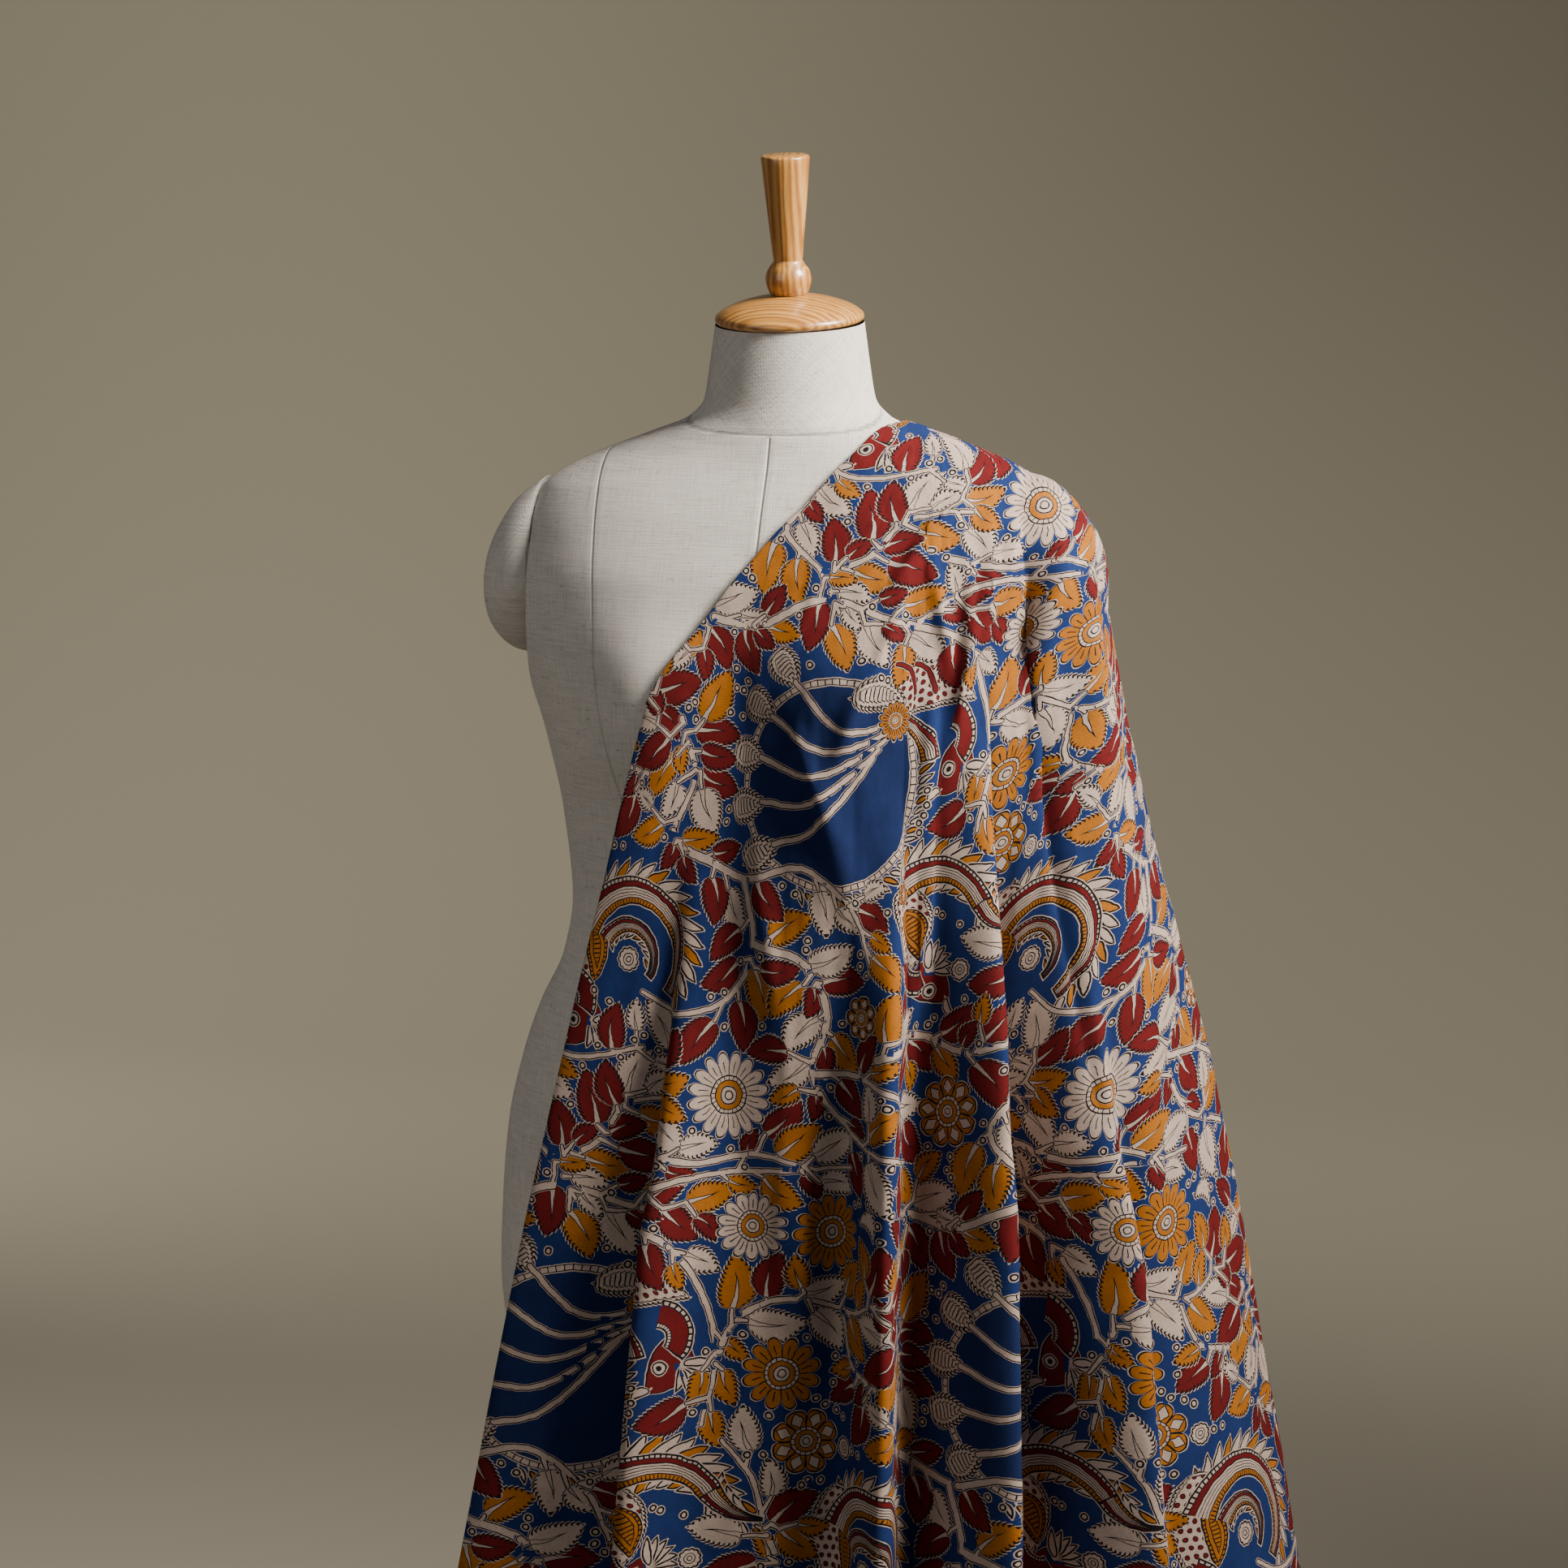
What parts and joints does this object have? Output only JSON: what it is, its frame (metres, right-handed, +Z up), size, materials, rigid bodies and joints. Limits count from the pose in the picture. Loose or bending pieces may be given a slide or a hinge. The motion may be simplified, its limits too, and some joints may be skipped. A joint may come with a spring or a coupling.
{
  "type": "kalamkari fabric draped on a dress form with its stand",
  "caption": "Length of printed cotton draped over the left shoulder of a linen-covered dress form with a wooden neck cap and finial, on a pole and round base.",
  "frame": {"origin": "centre of the base's underside, on the floor", "axes": "+Z up along the pole; the form faces -Y; +X is the wearer's left, the side that carries the cloth"},
  "size_m": [0.6517, 0.5345, 1.5532],
  "materials": {
    "printed_cotton": "plain-weave cotton printed in blue, red, ochre and cream",
    "linen": "undyed slubby linen",
    "varnished_wood": "turned light wood, clear varnish",
    "dark_metal": "black satin powder coat"
  },
  "bodies": {
    "root": {"kalamkari_cloth": "printed_cotton", "torso": "linen", "arm_stump_left": "linen", "arm_stump_right": "linen", "neck_cap": "varnished_wood", "finial": "varnished_wood", "pole": "dark_metal", "base": "dark_metal"}
  },
  "joints": []
}
